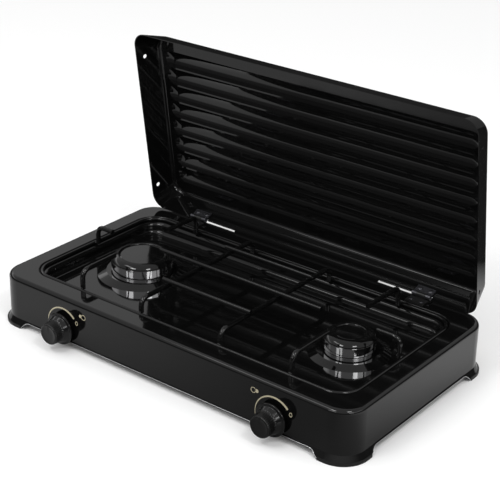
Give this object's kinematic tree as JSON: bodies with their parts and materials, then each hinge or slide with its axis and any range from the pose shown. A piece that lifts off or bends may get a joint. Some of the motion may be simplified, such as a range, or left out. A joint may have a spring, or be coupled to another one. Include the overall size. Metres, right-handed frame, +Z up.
{
  "type": "two-burner gas cooktop",
  "caption": "Low rectangular gas cooktop: enamelled casing on corner legs, wire pan support, two burners with knobs in front and a ribbed lid hinged at the rear.",
  "frame": {"origin": "on the floor under the middle of the casing", "axes": "+X to the right seen from the front, +Y to the back where the lid is hinged, +Z up"},
  "size_m": [0.5094, 0.3184, 0.3039],
  "materials": {
    "black_enamel": "gloss",
    "lid_enamel": "gloss",
    "foot_rubber": "matte",
    "polished_aluminium": "polished",
    "pressed_steel": "satin",
    "zinc_steel": "zinc plated",
    "brass": "machined",
    "knob_plastic": "satin",
    "black_wire": "gloss"
  },
  "bodies": {
    "hob": {"casing": "black_enamel", "front_left_foot_shoe": "foot_rubber", "front_right_foot_shoe": "foot_rubber", "rear_left_foot_shoe": "foot_rubber", "rear_right_foot_shoe": "foot_rubber", "gas_rail": "zinc_steel", "inlet_nozzle": "brass", "inlet_nut": "brass", "rail_brackets": "zinc_steel", "casing_leaf_left": "black_enamel", "casing_leaf_right": "black_enamel", "casing_rivets": "zinc_steel", "left_valve_body": "brass", "left_valve_cover": "zinc_steel", "left_cover_screws": "zinc_steel", "left_injector": "brass", "left_mixing_tube": "pressed_steel", "left_burner_cup": "pressed_steel", "left_cup_screws": "zinc_steel", "right_valve_body": "brass", "right_valve_cover": "zinc_steel", "right_cover_screws": "zinc_steel", "right_injector": "brass", "right_mixing_tube": "pressed_steel", "right_burner_cup": "pressed_steel", "right_cup_screws": "zinc_steel"},
    "left_tap": {"left_valve_plug": "brass", "left_return_spring": "zinc_steel"},
    "left_control": {"left_spindle": "brass", "left_knob": "knob_plastic"},
    "left_burner_head": {"left_burner_crown": "polished_aluminium", "left_burner_cap": "black_enamel"},
    "right_tap": {"right_valve_plug": "brass", "right_return_spring": "zinc_steel"},
    "right_control": {"right_spindle": "brass", "right_knob": "knob_plastic"},
    "right_burner_head": {"right_burner_crown": "polished_aluminium", "right_burner_cap": "black_enamel"},
    "pan_support": {"grate_ring": "black_wire", "grate_bridge_left": "black_wire", "grate_bridge_right": "black_wire", "grate_rod_front": "black_wire", "grate_rod_middle": "black_wire", "grate_rod_rear": "black_wire", "grate_finger_left_front": "black_wire", "grate_finger_left_rear": "black_wire", "grate_finger_left_outer": "black_wire", "grate_finger_right_front": "black_wire", "grate_finger_right_rear": "black_wire", "grate_finger_right_outer": "black_wire"},
    "lid": {"lid_panel": "lid_enamel", "lid_leaf_left": "zinc_steel", "lid_leaf_right": "zinc_steel", "hinge_pin_left": "zinc_steel", "hinge_pin_right": "zinc_steel", "lid_rivets": "zinc_steel"}
  },
  "joints": [
    {"name": "lid_hinge", "type": "hinge", "parent": "hob", "child": "lid", "pos_m": [0, 0.129, 0.066], "axis": [-1, 0, 0], "range_deg": [-81.5, 15.5]},
    {"name": "pan_support_lift", "type": "slide", "parent": "hob", "child": "pan_support", "axis": [0, 0, 1], "range_m": [0, 0.025]},
    {"name": "left_burner_head_lift", "type": "slide", "parent": "hob", "child": "left_burner_head", "axis": [0, 0, 1], "range_m": [0, 0.008]},
    {"name": "left_tap_turn", "type": "hinge", "parent": "hob", "child": "left_tap", "pos_m": [-0.1465, -0.135, 0.024], "axis": [0, -1, 0], "range_deg": [0, 127]},
    {"name": "left_knob_push", "type": "slide", "parent": "left_tap", "child": "left_control", "axis": [0, 1, 0], "range_m": [0, 0.0018], "stiffness_N_per_m": 1500, "deforming": ["left_return_spring"]},
    {"name": "right_burner_head_lift", "type": "slide", "parent": "hob", "child": "right_burner_head", "axis": [0, 0, 1], "range_m": [0, 0.008]},
    {"name": "right_tap_turn", "type": "hinge", "parent": "hob", "child": "right_tap", "pos_m": [0.1555, -0.135, 0.024], "axis": [0, -1, 0], "range_deg": [0, 127]},
    {"name": "right_knob_push", "type": "slide", "parent": "right_tap", "child": "right_control", "axis": [0, 1, 0], "range_m": [0, 0.0018], "stiffness_N_per_m": 1500, "deforming": ["right_return_spring"]}
  ]
}
